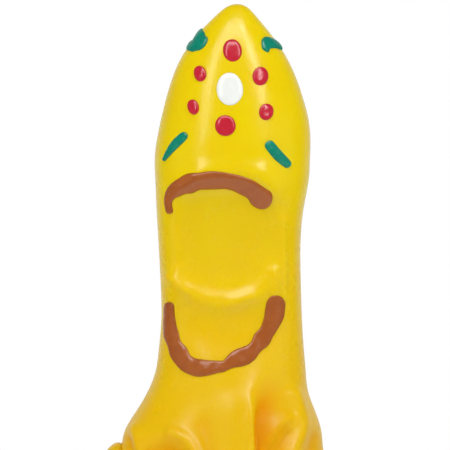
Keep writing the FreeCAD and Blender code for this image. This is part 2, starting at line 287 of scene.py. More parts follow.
def limb(name, table, steps=60, turns=40, power=2.0, relief=None, side=(1, 0, 0), caps=None):
    """A closed, round-ended limb. table rows are (x, y, below, half width, half depth) along its middle.

    relief(along, turn) gives a height in millimetres, where along is the distance from the limb's start.
    caps are the lengths over which its two ends round off, and side is the way across it.
    """
    table = np.asarray(table, float)
    chord = chord_lengths(table[:, :3])
    total = chord[-1]
    crowded = total * (1 - np.cos(np.linspace(0, np.pi, steps))) / 2
    even = np.linspace(0, total, steps)
    along = 0.5 * crowded + 0.5 * even
    read = spline(chord, table, along)
    middle = read[:, :3]
    start_r, end_r = caps or (table[0, 3:].mean(), table[-1, 3:].mean())
    cap = np.ones(steps)
    for distance, radius in ((along, start_r), (total - along, end_r)):
        near = np.clip(distance / max(radius, 0.1), 0, 1)
        cap = cap * np.sqrt(np.clip(1 - (1 - near) ** 2, 0, 1))
    tangent = np.gradient(middle, axis=0)
    tangent /= np.linalg.norm(tangent, axis=1, keepdims=True)
    side = np.asarray(side, float)
    across = side - tangent * (tangent @ side)[:, None]
    across /= np.linalg.norm(across, axis=1, keepdims=True)
    deep = np.cross(tangent, across)
    turn = 2 * np.pi * np.arange(turns) / turns
    x, y = superellipse(turn[None, :], 1.0, 1.0, 1.0, power)
    wide = (read[:, 3] * cap)[:, None]
    thick = (read[:, 4] * cap)[:, None]
    if relief is not None:
        height = relief(along[:, None], turn[None, :]) * np.clip(cap, 0, 1)[:, None]
        wide = wide + height
        thick = thick + height
    sideways = across[:, None, :] * (x * wide)[..., None]
    rows = middle[:, None, :] + sideways + deep[:, None, :] * (y * thick)[..., None]
    return shell(name, rows)


# ---- the skin of the head, neck and torso ----
# Distance below the crown, the section's middle in x, its half width, its reach to the back and to the
# front, and its squareness.
SKIN = [
    (0.0, 1.5, 0.0, 0.0, 0.0, 2.0),
    (0.9, 1.4, 3.1, 2.9, 2.9, 2.0),
    (2.7, 1.2, 5.2, 4.8, 5.0, 2.0),
    (7.2, 0.8, 9.4, 8.2, 9.0, 2.0),
    (16.8, 0.6, 16.2, 13.2, 16.0, 2.0),
    (28.8, 0.8, 20.7, 17.2, 21.5, 2.05),
    (37.8, 0.7, 22.7, 19.6, 24.5, 2.1),
    (46.8, 0.1, 23.3, 21.4, 25.2, 2.25),
    (53.0, 0.0, 23.0, 21.8, 24.2, 2.45),
    (60.0, -0.5, 22.2, 21.0, 22.0, 2.7),
    (73.8, -0.7, 21.2, 19.4, 19.0, 2.8),
    (86.0, -0.3, 21.0, 18.9, 18.5, 2.8),
    (95.0, -0.1, 21.1, 18.9, 18.9, 2.7),
    (104.0, -0.2, 21.8, 19.7, 20.0, 2.5),
    (110.0, -0.4, 22.5, 20.8, 21.2, 2.4),
    (116.0, -1.2, 24.0, 22.2, 23.2, 2.3),
    (122.0, -1.9, 26.8, 24.4, 26.4, 2.25),
    (128.0, -2.7, 29.5, 27.0, 30.0, 2.2),
    (134.0, -2.9, 30.4, 29.4, 33.8, 2.2),
    (148.0, -1.2, 34.8, 33.5, 41.0, 2.2),
    (170.0, -0.3, 41.6, 37.5, 47.5, 2.1),
    (200.0, 0.0, 47.2, 40.0, 51.0, 2.1),
    (232.0, 0.0, 48.0, 40.4, 49.0, 2.1),
    (262.0, 0.0, 44.0, 37.5, 41.0, 2.1),
    (286.0, 0.0, 33.0, 29.0, 29.0, 2.0),
    (299.0, 0.0, 19.5, 17.0, 17.0, 2.0),
    (305.0, 0.0, 0.0, 0.0, 0.0, 2.0),
]
SKIN_END = SKIN[-1][0]
SKIN_TURNS = 280
BACK_DETAIL = 0.45        # how much closer together the points are on the back than in front

# Folds and ridges on the back: height (negative for a valley), width, and a path of (x, below).
FOLDS = [
    (0.85, 2.8, [
        (-17.0, 82.0), (-14.0, 85.1), (-9.0, 88.1), (-2.5, 89.7), (4.0, 88.1), (9.5, 84.3), (12.0, 80.0),
    ]),
    (0.60, 1.6, [(-18.5, 81.6), (-15.8, 83.5), (-13.2, 85.5)]),
    (0.50, 1.8, [(0.0, 89.4), (2.6, 88.6), (5.2, 87.3)]),
    (0.60, 1.3, [(12.4, 86.5), (12.8, 83.5), (12.0, 80.0)]),
    (0.60, 1.1, [(15.3, 88.0), (15.3, 80.0), (14.9, 72.0), (15.0, 65.0)]),
    (0.85, 3.0, [(-15.0, 54.0), (-8.0, 50.8), (0.0, 50.2), (8.5, 51.5), (13.0, 55.5)]),
    (-0.7, 5.0, [(-10.0, 97.0), (0.0, 99.0), (8.0, 95.0)]),
    (2.3, 12.0, [(-1.0, 111.5), (2.0, 116.0), (4.0, 120.5)]),
    (2.0, 7.5, [(3.2, 121.0), (4.8, 127.0), (5.0, 134.0), (5.0, 142.0)]),
    (-0.6, 3.0, [(-8.5, 126.0), (-7.6, 131.0), (-6.6, 137.0)]),
    (1.1, 1.9, [(15.4, 124.2), (12.4, 126.4), (9.8, 129.4), (8.2, 133.0), (7.8, 138.0)]),
    (1.6, 2.4, [(18.0, 116.5), (19.6, 121.5), (20.4, 126.0), (18.8, 130.5), (16.8, 135.0), (16.5, 141.0)]),
    (0.35, 0.6, [(18.3, 122.6), (19.2, 124.4), (20.0, 125.9)]),
    (-0.9, 2.2, [(15.2, 128.0), (13.6, 132.5), (12.6, 138.0)]),
    (-1.0, 2.6, [(24.4, 130.0), (23.6, 134.0), (22.0, 140.0)]),
    (1.4, 1.9, [(-18.0, 127.4), (-14.6, 128.6), (-12.0, 131.2), (-10.4, 136.0)]),
    (-1.8, 3.4, [(-23.0, 134.0), (-17.5, 133.2), (-14.5, 138.0)]),
    (1.0, 1.9, [(-29.0, 127.0), (-27.8, 131.0), (-27.4, 136.0)]),
    (-1.3, 1.6, [(-31.0, 130.0), (-30.4, 134.0)]),
]
# The crisp fold right of the middle: where its edge lies, as (below, x), and how far it drops.
EDGE = [(108.0, 9.5), (114.0, 8.0), (119.0, 6.7), (125.0, 6.0), (131.0, 6.2), (138.0, 6.6), (150.0, 8.0)]
EDGE_DROP = 2.7
EDGE_LIP = 0.55
EDGE_HOLLOW = 6.0        # width of the hollow beside it
EDGE_BLUNT = 3.6         # half width of its drop at the top
EDGE_SHARP = 2.9         # how much narrower the drop is lower down
LIP_BACK = 1.7           # how far the raised lip lies behind the edge
LIP_WIDTH = 1.1
# The shallow hollow between the bands: x, below, half width, half height and depth.
DISH = (-1.5, 70.0, 16.0, 17.0, 2.3)
PIMPLE_PITCH = 8.5
PIMPLE_HEIGHT = 0.65
PIMPLE_WIDTH = 1.6
PIMPLE_STRAY = 0.25      # how far a bump strays from its place, as a share of the pitch
SOFT_HEIGHT = 0.25       # unevenness of the torso

# How the rows of points are spread: the lengths of the rounded top and base, and the end of the folds.
TOP_ROUND = 12.0
BASE_ROUND = 11.0
FOLDS_END = 142.0
FOLDS_PITCH = 0.52
# The seat of the squeaker's flange: flat within the first distance of its centre, plain skin past the second.
SEAT_FLAT = 13.0
SEAT_END = 21.0
SEAT_DEPTH = 1.1         # how far the skin lies in front of the flange's back face


def distance_to(path, x, below):
    """How far each point of the back is from a path, in millimetres."""
    nearest = np.full(x.shape, 1e9)
    path = spline(np.arange(len(path)), path, np.linspace(0, len(path) - 1, 6 * len(path)))
    for (x0, d0), (x1, d1) in zip(path[:-1], path[1:]):
        dx, dd = x1 - x0, d1 - d0
        t = np.clip(((x - x0) * dx + (below - d0) * dd) / (dx * dx + dd * dd + 1e-9), 0, 1)
        nearest = np.minimum(nearest, np.hypot(x - x0 - t * dx, below - d0 - t * dd))
    return nearest


def crisp_fold(x, below):
    """A bulge whose edge drops into a hollow, softly at the top and sharply lower down."""
    edge = np.interp(below, [row[0] for row in EDGE], [row[1] for row in EDGE])
    past = x - edge
    soft = EDGE_BLUNT - EDGE_SHARP * smoothstep(114, 125, below)
    hollow = smoothstep(-soft, soft, past) * np.exp(-(np.maximum(past, 0) / EDGE_HOLLOW) ** 2)
    lip = np.exp(-((past + LIP_BACK) / LIP_WIDTH) ** 2) * smoothstep(116, 123, below)
    window = smoothstep(109, 124, below) * (1 - smoothstep(142, 156, below))
    return (EDGE_LIP * lip - EDGE_DROP * hollow) * window


def pimples(turn, below, reach):
    """The plucked look of the torso: rows of small round bumps."""
    row = below / PIMPLE_PITCH
    across = turn * reach / PIMPLE_PITCH + 0.5 * (np.floor(row) % 2)
    i = np.floor(row)
    j = np.floor(across)
    stray_x = PIMPLE_STRAY * np.sin(12.9898 * i + 78.233 * j)
    stray_y = PIMPLE_STRAY * np.sin(39.425 * i + 11.135 * j)
    dx = (across - j - 0.5 + stray_x) * PIMPLE_PITCH
    dy = (row - i - 0.5 + stray_y) * PIMPLE_PITCH
    dome = np.exp(-(dx * dx + dy * dy) / PIMPLE_WIDTH ** 2)
    return PIMPLE_HEIGHT * dome * smoothstep(150, 175, below) * (1 - smoothstep(268, 285, below))


def skin_levels():
    """How far below the crown the rows of points lie, close together at both ends and over the folds."""
    return np.concatenate([
        TOP_ROUND * np.linspace(0, 1, 30) ** 2,
        np.arange(TOP_ROUND + 0.6, FOLDS_END, FOLDS_PITCH),
        np.linspace(FOLDS_END + 1, SKIN_END - BASE_ROUND - 1, 96),
        SKIN_END - BASE_ROUND * np.linspace(1, 0, 20) ** 2,
    ])


def smooth_skin(below, turn):
    """The grid of points of the skin before any fold, and its half width at each level."""
    knots = np.arccos(1 - 2 * np.array([row[0] for row in SKIN]) / SKIN_END)
    read = spline(knots, [row[1:] for row in SKIN], np.arccos(np.clip(1 - 2 * below / SKIN_END, -1, 1)))
    middle, wide, back, front, power = (read[:, i:i + 1] for i in range(5))
    tiny = 1e-4
    x, y = superellipse(turn, np.maximum(wide, tiny), np.maximum(back, tiny), np.maximum(front, tiny), power)
    level = np.repeat(below[:, None], SKIN_TURNS, 1)
    return np.stack([x + middle, y, level], -1), wide


def back_relief(x, level):
    """The height of the folds and the dish, and how deep the folds' hollows are."""
    relief = crisp_fold(x, level)
    hollow = -relief
    for height, width, path in FOLDS:
        swell = np.exp(-(distance_to(path, x, level) / width) ** 2)
        relief += height * swell
        hollow += max(-height, 0) * swell
    dish_x, dish_below, dish_wide, dish_high, dish_deep = DISH
    inside = np.abs((x - dish_x) / dish_wide) ** 3 + np.abs((level - dish_below) / dish_high) ** 3
    return relief - dish_deep * (1 - smoothstep(0.1, 1.25, inside)), hollow


def body_skin():
    """The whole skin in one piece. Its fold attribute says how much each point lies in a fold, where the
    latex paints shade.
    """
    turn = 2 * np.pi * np.arange(SKIN_TURNS)[None, :] / SKIN_TURNS
    turn = turn - BACK_DETAIL * np.sin(turn)
    rows, wide = smooth_skin(skin_levels(), turn)
    x, level = rows[..., 0], rows[..., 2].copy()
    facing = smoothstep(0.02, 0.45, np.cos(turn)) * np.ones_like(level)
    relief, hollow = back_relief(x, level)
    seat = 1 - smoothstep(SEAT_FLAT, SEAT_END, np.hypot(x, level - down(SQUEAKER)))
    seat = seat * (np.cos(turn) > 0)
    bumps = pimples(turn, level, np.abs(wide) + 0.1) * (1 - seat)
    soft = SOFT_HEIGHT * wobble(x / 9, level / 11, rows[..., 1] / 9) * smoothstep(100, 160, level)
    rows += grid_normals(rows) * (relief * facing + bumps + soft)[..., None]
    rows[..., 1] = rows[..., 1] * (1 - seat) + (FLANGE_BACK + SEAT_DEPTH) * seat
    # Painted shade: how deep each point lies in a fold's hollow, where the latex darkens to orange and dims
    # its gloss.
    fold = np.clip(hollow / 2.0, 0, 1) * facing * smoothstep(90, 118, level)
    return shell("body_skin", rows, {"fold": fold})


# ---- paint ----
PAINT = 0.75             # how thick the paint is
PAINT_SUNK = 0.06        # how far its outline lies in the skin
PAINT_ROOT = 0.4         # how far its underside lies in the skin
PAINT_LUMPS = 0.10
MARK_STEP = 0.34         # length of one step along a mark
MARK_STEPS = 26          # the fewest steps that a mark has
LEAF_VOXEL = 0.16
LEAF_PASSES = 8
# Each mark is a path of (x, below, half width), seen from behind the neck.
UPPER_BAND = [
    (-18.5, 62.0, 1.1), (-18.8, 59.3, 1.2), (-17.7, 56.8, 2.0), (-15.0, 55.0, 2.7), (-11.1, 53.7, 2.8),
    (-6.7, 53.2, 2.7), (-2.7, 53.3, 2.55), (1.2, 54.0, 2.5), (4.8, 55.6, 2.75), (7.4, 57.3, 3.1),
    (8.7, 58.6, 3.2),
]
LOWER_BAND = [
    [
        (-18.6, 90.6, 1.5), (-18.6, 93.1, 1.8), (-18.4, 96.7, 2.05), (-17.6, 100.2, 2.35),
        (-15.8, 104.1, 2.6), (-13.3, 107.2, 2.75), (-10.2, 108.3, 2.55), (-6.2, 108.2, 2.2),
        (-3.0, 107.8, 1.7),
    ],
    [
        (-1.6, 107.3, 1.6), (0.8, 105.9, 2.5), (3.9, 104.7, 2.6), (6.8, 102.4, 2.3), (9.4, 99.1, 2.5),
        (11.6, 95.3, 2.65), (12.7, 91.8, 3.0), (12.9, 90.1, 3.1),
    ],
]
LOWER_LEAVES = [
    [(-20.1, 47.0, 0.45), (-17.3, 43.0, 1.3), (-14.3, 40.0, 1.3)],
    [(11.2, 42.9, 1.6), (13.3, 45.5, 1.65), (16.2, 48.2, 1.3)],
]
SIDE_TURN = 52.0         # the upper leaves are painted on the sides, this far round from the back
SIDE_LEAVES = [
    (-1, [(-4.3, 8.8, 1.3), (-2.8, 10.6, 2.8), (-2.0, 11.6, 3.1)]),
    (-1, [(-5.4, 12.5, 1.6), (-2.6, 12.5, 2.1), (0.2, 12.2, 2.2)]),
    (1, [(-0.9, 13.7, 1.3), (0.2, 12.4, 1.7), (3.2, 11.9, 1.7), (7.0, 12.9, 1.2)]),
]
# Each oval dab is x, below, half width, half height and lean in degrees.
FLOWER_CENTRE = (-0.7, 26.1, 4.0, 4.9, 3)
PETALS = [
    (0.1, 14.5, 2.9, 3.4, 6),
    (-9.5, 21.4, 1.9, 2.4, 12),
    (8.4, 22.2, 2.4, 2.8, -8),
    (-11.5, 31.4, 1.7, 2.3, 14),
    (10.1, 32.9, 2.2, 2.5, -14),
    (-2.0, 37.0, 3.15, 3.1, 0),
]


def oval_path(x, below, half_width, half_height, lean):
    """An oval dab as a path along its longer way, whose ends the mark rounds off."""
    a = math.radians(lean)
    path = []
    for t in np.linspace(-1, 1, 9):
        reach = t * half_height
        half = half_width * math.sqrt(1.0001 - t * t)
        path.append((x + reach * math.sin(a), below + reach * math.cos(a), half))
    return path


def on_skin(canvas, x, below, turn):
    """Where a straight line towards the skin from a side meets it, and the skin's smooth normal there."""
    tree, mesh = canvas
    spin = Matrix.Rotation(math.radians(turn), 3, "Z")
    origin = spin @ Vector((x * MM, -0.2, CROWN - below * MM))
    place, _, face, _ = tree.ray_cast(origin, spin @ Vector((0, 1, 0)))
    if place is None:
        raise ValueError(f"no skin at {x:.1f}, {below:.1f}")
    corners = mesh.polygons[face].vertices
    weights = poly_3d_calc([mesh.vertices[v].co for v in corners], place)
    normal = Vector((0, 0, 0))
    for v, weight in zip(corners, weights):
        normal += mesh.vertices[v].normal * weight
    return place, normal.normalized()


def stroke_places(path, total, steps):
    """Places along a stroke, and how far each lies past its path, as a share of the round end's radius."""
    start, finish = path[0, 2], path[-1, 2]
    crowded = np.sin(np.linspace(-np.pi / 2, np.pi / 2, steps)) * 0.5 + 0.5
    along = crowded * 0.35 + np.linspace(0, 1, steps) * 0.65
    places = -start + along * (total + start + finish)
    over = places - np.clip(places, 0, total)
    return places, over / np.where(over < 0, start, finish)


def dab_places(total, steps):
    """Places along an oval dab, and how far each lies from its middle, as a share of half its length."""
    places = total * (np.sin(np.linspace(-np.pi / 2, np.pi / 2, steps)) * 0.5 + 0.5)
    return places, 2 * places / total - 1


def mark(name, path, canvas, turn=0.0, oval=False, ragged=0.06, seed=0.0):
    """One raised dab or brush stroke that follows the skin, with rounded edges and an uneven outline.

    canvas is the skin's search tree and mesh, and turn is how far round from the back it is painted.
    """
    path = np.asarray(path, float)
    chord = chord_lengths(path[:, :2])
    total = chord[-1]
    steps = int(max(MARK_STEPS, total / MARK_STEP))
    if oval:
        places, past = dab_places(total, steps)
    else:
        places, past = stroke_places(path, total, steps)
    read = spline(chord, path, np.clip(places, 0, total))
    here = np.clip(places, 0.2, total - 0.2)
    direction = spline(chord, path[:, :2], here + 0.2) - spline(chord, path[:, :2], here - 0.2)
    direction /= np.linalg.norm(direction, axis=1, keepdims=True)
    over = places - np.clip(places, 0, total)
    middle = read[:, :2] + direction * over[:, None]
    widest = path[:, 2].max() if oval else read[:, 2]
    half = widest * np.sqrt(np.clip(1 - past ** 2, 0, 1))
    fade = np.sqrt(np.clip(1 - np.abs(past) ** 4, 0, 1))
    perp = np.stack([-direction[:, 1], direction[:, 0]], -1)
    top = np.linspace(-1, 1, 17)
    bottom = np.linspace(0.9, -0.9, 7)
    rows = np.zeros((steps, len(top) + len(bottom), 3))
    for i, place_along in enumerate(places):
        edge_a = half[i] * (1 + ragged * wobble(place_along * 0.55, seed=seed))
        edge_b = half[i] * (1 + ragged * wobble(place_along * 0.6, seed=seed + 4))
        for j, v in enumerate(np.concatenate([top, bottom])):
            x, below = middle[i] + perp[i] * v * (edge_a if v < 0 else edge_b)
            place, normal = on_skin(canvas, x, below, turn)
            if j < len(top):
                lump = 1 + PAINT_LUMPS * wobble(place_along * 0.8, v * 1.3, seed=seed)
                height = PAINT * fade[i] * math.sqrt(max(0.0, 1 - abs(v) ** 3.2)) * lump - PAINT_SUNK
            else:
                height = -PAINT_ROOT
            spot = place + normal * height * MM
            rows[i, j] = spot.x / MM, spot.y / MM, down(spot)
    return shell(name, rows)


def paint_marks(skin):
    canvas = (BVHTree.FromObject(skin, bpy.context.evaluated_depsgraph_get()), skin.data)
    made = {}
    dabs = []
    for i, oval in enumerate(PETALS):
        dabs.append(mark(f"petal_{i}", oval_path(*oval), canvas, oval=True, ragged=0.03, seed=i))
    made["petals"] = join("petal_dabs", dabs)
    centre = mark("centre", oval_path(*FLOWER_CENTRE), canvas, oval=True, ragged=0.02)
    made["centre"] = join("centre_dab", [centre])
    leaves = []
    for i, path in enumerate(LOWER_LEAVES):
        leaves.append(mark(f"leaf_{i}", path, canvas, seed=i))
    for i, (side, path) in enumerate(SIDE_LEAVES):
        leaves.append(mark(f"side_leaf_{i}", path, canvas, turn=side * SIDE_TURN, seed=i))
    made["leaves"] = join("leaf_strokes", leaves)
    melt(made["leaves"], LEAF_VOXEL, LEAF_PASSES)
    made["upper"] = join("upper_band_stroke", [mark("upper", UPPER_BAND, canvas, seed=2)])
    strokes = []
    for i, path in enumerate(LOWER_BAND):
        strokes.append(mark(f"lower_{i}", path, canvas, ragged=0.09, seed=i))
    made["lower"] = join("lower_band_strokes", strokes)
    return made


# ---- materials ----

def add(tree, kind, **settings):
    node = tree.nodes.new(kind)
    for key, value in settings.items():
        setattr(node, key, value)
    return node


def material(name, colour, roughness, **sockets):
    """A principled material with its plain settings, its tree and its shader node."""
    made = bpy.data.materials.new(name)
    made.use_nodes = True
    tree = made.node_tree
    shader = tree.nodes["Principled BSDF"]
    shader.inputs["Base Color"].default_value = (*colour, 1)
    shader.inputs["Roughness"].default_value = roughness
    for key, value in sockets.items():
        shader.inputs[key.replace("_", " ")].default_value = value
    return made, tree, shader


def place_node(tree):
    """Each point's place at rest, in metres."""
    return add(tree, "ShaderNodeAttribute", attribute_name="rest").outputs["Vector"]


def noise(tree, where, scale, detail=3.0, rough=0.5):
    node = add(tree, "ShaderNodeTexNoise")
    node.inputs["Scale"].default_value = scale
    node.inputs["Detail"].default_value = detail
    node.inputs["Roughness"].default_value = rough
    tree.links.new(where, node.inputs["Vector"])
    return node.outputs["Fac"]


def spread(tree, value, low, high, to_low, to_high):
    node = add(tree, "ShaderNodeMapRange", clamp=True)
    for key, number in (("From Min", low), ("From Max", high), ("To Min", to_low), ("To Max", to_high)):
        node.inputs[key].default_value = number
    tree.links.new(value, node.inputs["Value"])
    return node.outputs["Result"]


def mix(tree, share, first, second):
    """Mixes two colours, each a socket or three numbers, by a share that is a socket."""
    node = add(tree, "ShaderNodeMix", data_type="RGBA")
    tree.links.new(share, node.inputs["Factor"])
    for value, slot in ((first, node.inputs["A"]), (second, node.inputs["B"])):
        if isinstance(value, tuple):
            slot.default_value = (*value, 1)
        else:
            tree.links.new(value, slot)
    return node.outputs["Result"]


def bump(tree, shader, height, strength, distance):
    node = add(tree, "ShaderNodeBump")
    node.inputs["Strength"].default_value = strength
    node.inputs["Distance"].default_value = distance
    tree.links.new(height, node.inputs["Height"])
    tree.links.new(node.outputs["Normal"], shader.inputs["Normal"])


SHEEN = 0.44             # how strongly smooth latex reflects
FOLD_SHADED_SHEEN = 0.10        # and how strongly the bottom of a fold does: painted shade that dims the reflection there
DEEPER_FROM = 0.045      # metres below the crown where the colour starts to deepen
DEEPER_TO = 0.125        # and where it has deepened fully
DEEPER_ROUGH = 0.10      # how much rougher the latex is there
DUST_COLOUR = (0.85, 0.78, 0.30)
# How fine the textures are, in cells per metre.
CLOUDS = 60
SHINE_PATCHES = 220
GRAIN = 900
SPECKS = 1500
DUST = 2300
BRUSH_CLOUDS = 350
BRUSH_PATCHES = 500
BRUSH_GRAIN = 700
PINHOLES = 2600
PLASTIC_CLOUDS = 400
PLASTIC_PATCHES = 900
PLASTIC_GRAIN = 1500


def latex(name, colour, deep, low, soft=0.0025, gloss=0.21):
    """Glossy dip-moulded latex: painted fold shade that deepens the colour and dims the gloss, faint
    mottling, specks and a fine grain.
    """
    made, tree, shader = material(name, colour, gloss, Subsurface_Weight=0.25, Subsurface_Scale=soft)
    shader.inputs["Subsurface Radius"].default_value = (1.0, 0.45, 0.08)
    where = place_node(tree)
    height = add(tree, "ShaderNodeSeparateXYZ")
    tree.links.new(where, height.inputs["Vector"])
    lower = spread(tree, height.outputs["Z"], CROWN - DEEPER_TO, CROWN - DEEPER_FROM, 1, 0)
    base = mix(tree, lower, colour, low)
    # Painted shade: the colour turns to the deep orange where the skin lies in a fold.
    fold = add(tree, "ShaderNodeAttribute", attribute_name="fold").outputs["Fac"]
    base = mix(tree, fold, base, deep)
    cloud = spread(tree, noise(tree, where, CLOUDS, 2), 0.35, 0.75, 0, 0.28)
    base = mix(tree, cloud, base, low)
    speck = spread(tree, noise(tree, where, SPECKS, 1, 0.3), 0.735, 0.76, 0, 0.35)
    base = mix(tree, speck, base, deep)
    dust = spread(tree, noise(tree, where, DUST, 1, 0.3), 0.75, 0.79, 0, 0.22)
    base = mix(tree, dust, base, DUST_COLOUR)
    tree.links.new(base, shader.inputs["Base Color"])
    rough = spread(tree, noise(tree, where, SHINE_PATCHES, 3), 0.3, 0.7, gloss - 0.04, gloss + 0.06)
    broad = add(tree, "ShaderNodeMath", operation="MULTIPLY_ADD")
    tree.links.new(lower, broad.inputs[0])
    broad.inputs[1].default_value = DEEPER_ROUGH
    tree.links.new(rough, broad.inputs[2])
    tree.links.new(broad.outputs["Value"], shader.inputs["Roughness"])
    # Painted shade on the gloss: the reflection is dimmed at the bottom of folds.
    tree.links.new(spread(tree, fold, 0, 0.8, SHEEN, FOLD_SHADED_SHEEN), shader.inputs["Specular IOR Level"])
    bump(tree, shader, noise(tree, where, GRAIN, 3, 0.6), 0.14, 0.0004)
    return made


def gloss_paint(name, colour, streak, gloss=0.17):
    """Thick latex paint: an uneven colour with pale pinholes, an uneven gloss and a fine grain."""
    made, tree, shader = material(name, colour, gloss, Specular_IOR_Level=0.6)
    where = place_node(tree)
    cloud = spread(tree, noise(tree, where, BRUSH_CLOUDS, 3), 0.4, 0.7, 0, 0.6)
    base = mix(tree, cloud, colour, streak)
    pinhole = spread(tree, noise(tree, where, PINHOLES, 1, 0.3), 0.73, 0.76, 0, 0.5)
    base = mix(tree, pinhole, base, tuple(min(1.0, c * 1.5 + 0.1) for c in colour))
    tree.links.new(base, shader.inputs["Base Color"])
    rough = spread(tree, noise(tree, where, BRUSH_PATCHES, 2), 0.3, 0.7, gloss - 0.05, gloss + 0.08)
    tree.links.new(rough, shader.inputs["Roughness"])
    bump(tree, shader, noise(tree, where, BRUSH_GRAIN, 3, 0.6), 0.16, 0.0004)
    return made


def moulded_plastic(name, colour, gloss):
    """Moulded polyethylene, faintly mottled."""
    made, tree, shader = material(name, colour, gloss, Subsurface_Weight=0.1, Subsurface_Scale=0.001)
    where = add(tree, "ShaderNodeTexCoord").outputs["Object"]
    cloud = spread(tree, noise(tree, where, PLASTIC_CLOUDS, 3), 0.35, 0.7, 0, 0.5)
    tree.links.new(mix(tree, cloud, colour, tuple(c * 0.9 for c in colour)), shader.inputs["Base Color"])
    rough = spread(tree, noise(tree, where, PLASTIC_PATCHES, 2), 0.3, 0.7, gloss - 0.05, gloss + 0.1)
    tree.links.new(rough, shader.inputs["Roughness"])
    bump(tree, shader, noise(tree, where, PLASTIC_GRAIN, 2), 0.08, 0.0002)
    return made


# Each latex's second colour is the painted shade of its folds and the colour of its specks.
YELLOW = latex("latex_yellow", (0.82, 0.62, 0.001), (0.76, 0.29, 0.001), (0.80, 0.49, 0.001))
RED = latex("latex_red", (0.46, 0.012, 0.014), (0.25, 0.005, 0.006), (0.42, 0.010, 0.012), 0.0015, 0.24)
ORANGE = latex("latex_orange", (0.66, 0.20, 0.008), (0.42, 0.09, 0.004), (0.62, 0.17, 0.007), 0.0018, 0.3)
PAINT_WHITE = gloss_paint("paint_white", (0.86, 0.88, 0.84), (0.81, 0.83, 0.78))
PAINT_RED = gloss_paint("paint_red", (0.56, 0.020, 0.040), (0.50, 0.014, 0.030))
PAINT_GREEN = gloss_paint("paint_green", (0.002, 0.24, 0.155), (0.001, 0.19, 0.125), 0.24)
PAINT_BROWN = gloss_paint("paint_brown", (0.38, 0.100, 0.018), (0.32, 0.078, 0.015), 0.20)
PAINT_BLACK = gloss_paint("paint_black", (0.008, 0.008, 0.009), (0.014, 0.013, 0.012), 0.12)
CLAW = gloss_paint("claw_paint", (0.50, 0.38, 0.20), (0.40, 0.28, 0.13), 0.3)
PLASTIC = moulded_plastic("squeaker_plastic", (0.62, 0.61, 0.57), 0.28)
FILM = moulded_plastic("reed_film", (0.55, 0.56, 0.58), 0.18)


def dress(piece, look, bodies, nodes=(), between=None):
    """Gives a piece its material and slot, and fixes it to its body; a piece between two bodies is only set
    in place.
    """
    remember_rest(piece)
    piece.data.materials.clear()
    piece.data.materials.append(look)
    if between is None:
        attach(piece, bodies)
    else:
        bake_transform(piece)
    if nodes:
        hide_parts(*nodes)


def on_axis(below):
    """A point of the frame on its upright axis, this far below the crown."""
    return (0.0, 0.0, CROWN - below * MM)


# ---- head and neck ----
NECK_BEND_FROM = 113.0   # the top of the span given for the skin's bend, clear of the lower band
NECK_BEND_PAST = 22.0    # and how far below the hinge it ends; dress reads only that a span is given

skin = body_skin()
marks = paint_marks(skin)
dress(skin, YELLOW, ("neck", "torso"), ("head_and_neck_skin", "torso_skin"),
      (on_axis(NECK_BEND_FROM), on_axis(NECK + NECK_BEND_PAST)))
dress(marks["centre"], PAINT_WHITE, "neck", ["flower_centre"])
dress(marks["petals"], PAINT_RED, "neck", ["flower_petals"])
dress(marks["leaves"], PAINT_GREEN, "neck", ["flower_leaves"])
dress(marks["upper"], PAINT_BROWN, "neck", ["upper_neck_band"])
dress(marks["lower"], PAINT_BROWN, "neck", ["lower_neck_band"])


# ---- face ----
COMB_BASE = [(6.0, 8.5), (12.0, 14.5), (17.5, 22.5), (21.5, 31.0), (23.0, 38.5)]   # (y, below)
COMB_RISE = [3.0, 10.5, 13.0, 11.5, 4.0]
COMB_POINTS = 5
COMB_HALF = 2.6          # half its thickness at the root
COMB_THIN = 1.1          # how much thinner it is at its points
COMB_SWAY = 1.05         # how far its points sway from side to side
COMB_ROOT = 3.0          # how deep the comb is set into the head


def comb():
    steps, turns = 130, 28
    t = np.linspace(0, 1, steps)
    knots = np.linspace(0, 1, len(COMB_BASE))
    base = spline(knots, COMB_BASE, t)
    rise = spline(knots, np.array(COMB_RISE)[:, None], t)[:, 0]
    teeth = 0.60 + 0.40 * np.abs(np.sin(COMB_POINTS * np.pi * t)) ** 0.75
    ends = np.sqrt(np.clip(1 - np.abs(2 * t - 1) ** 6, 0, 1))
    along = np.gradient(base, axis=0)
    along /= np.linalg.norm(along, axis=1, keepdims=True)
    out = np.stack([along[:, 1], -along[:, 0]], -1)
    a = 2 * np.pi * np.arange(turns)[None, :] / turns
    total = (rise * teeth + COMB_ROOT)[:, None]
    height = (total * (1 - np.cos(a)) / 2 - COMB_ROOT) * ends[:, None] - COMB_ROOT * (1 - ends[:, None])
    share = np.clip(height / np.maximum(total, 0.1), 0, 1)
    thick = (COMB_HALF - COMB_THIN * share) * ends[:, None] * np.sign(np.sin(a)) * np.abs(np.sin(a)) ** 0.6
    rows = np.zeros((steps, turns, 3))
    rows[..., 0] = thick + COMB_SWAY * np.sin(9 * t)[:, None] * share
    rows[..., 1] = base[:, :1] + out[:, :1] * height
    rows[..., 2] = base[:, 1:] + out[:, 1:] * height
    return shell("comb_leaf", rows)


UPPER_BEAK = [
    (0, 16, 47.0, 8.8, 5.6), (0, 26, 47.8, 8.2, 5.2), (0, 34, 48.6, 6.2, 4.4), (0, 41, 50.4, 3.7, 3.1),
    (0, 46.5, 53.6, 1.3, 1.5),
]
LOWER_BEAK = [
    (0, 16, 53.5, 7.6, 4.0), (0, 26, 54.6, 6.8, 3.5), (0, 33, 56.6, 4.8, 2.7), (0, 40, 59.4, 2.0, 1.5),
]
BEAK_RIDGE = 0.5
NOSTRIL = (17.0, 1.05, 1.3)     # along the beak, round from the top in radians, radius
NOSTRIL_DEPTH = 1.1
BEAK_GIRTH = 6.0         # turns an angle round the beak into millimetres


